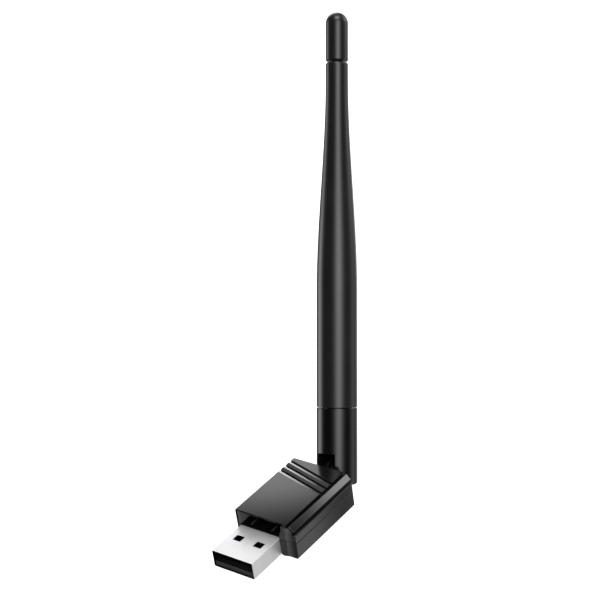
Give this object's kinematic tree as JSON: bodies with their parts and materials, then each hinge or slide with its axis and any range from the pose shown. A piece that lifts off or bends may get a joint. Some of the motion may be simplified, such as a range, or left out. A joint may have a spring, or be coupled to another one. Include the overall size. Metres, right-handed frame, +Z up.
{
  "type": "usb wifi adapter",
  "caption": "Offset black USB-A Wi-Fi adapter with a tapered whip antenna that swivels and tilts on a knuckle behind the housing.",
  "frame": {"origin": "centre of the USB-A plug in the plane of the housing's front face, where the plug leaves the housing", "axes": "-Y out along the plug, +Y towards the antenna, +Z up, towards the grooved top cover, +X towards the channelled side"},
  "size_m": [0.0317, 0.0932, 0.1062],
  "materials": {
    "gloss_black_plastic": "glossy moulded black",
    "satin_black_plastic": "satin moulded black",
    "whip_black": "satin black, smooth moulded sheath",
    "nickel_plated_steel": "bright nickel plate",
    "black_insulator": "matt black",
    "gold_plate": "gold plated",
    "green_board": "green solder mask",
    "chip_black": "matt moulded epoxy",
    "steel": "plain steel",
    "ceramic_tan": "matt ceramic",
    "cable_jacket": "smooth jacket",
    "brass": "plain brass",
    "white_plastic": "natural plastic"
  },
  "bodies": {
    "housing": {"top_cover": "gloss_black_plastic", "bottom_cover": "satin_black_plastic", "side_trim_strip": "satin_black_plastic", "usb_shell": "nickel_plated_steel", "usb_tongue": "black_insulator", "plug_holder": "black_insulator", "usb_contact_1": "gold_plate", "usb_contact_2": "gold_plate", "usb_contact_3": "gold_plate", "usb_contact_4": "gold_plate", "circuit_board": "green_board", "wifi_chip": "chip_black", "clock_crystal": "steel", "power_inductor": "chip_black", "bulk_capacitor": "ceramic_tan", "rf_filter": "ceramic_tan", "coax_lead": "cable_jacket"},
    "swivel": {"swivel_spindle": "satin_black_plastic", "retaining_clip": "steel", "coax_through_spindle": "cable_jacket"},
    "antenna": {"knuckle": "gloss_black_plastic", "hinge_pin": "steel", "antenna_sheath": "whip_black", "tip_cap": "whip_black", "coax_in_whip": "cable_jacket", "dipole_sleeve": "brass", "radiator_wire": "brass", "lower_spacer": "white_plastic", "upper_spacer": "white_plastic"}
  },
  "joints": [
    {"name": "antenna_swivel", "type": "hinge", "parent": "housing", "child": "swivel", "pos_m": [0.0014, 0.0245, 0.0024], "axis": [0, 1, 0], "range_deg": [-78.8, 101.2]},
    {"name": "antenna_tilt", "type": "hinge", "parent": "swivel", "child": "antenna", "pos_m": [0.0014, 0.0306, 0.0024], "axis": [-0.981, 0, -0.1942], "range_deg": [-26, 64]}
  ]
}
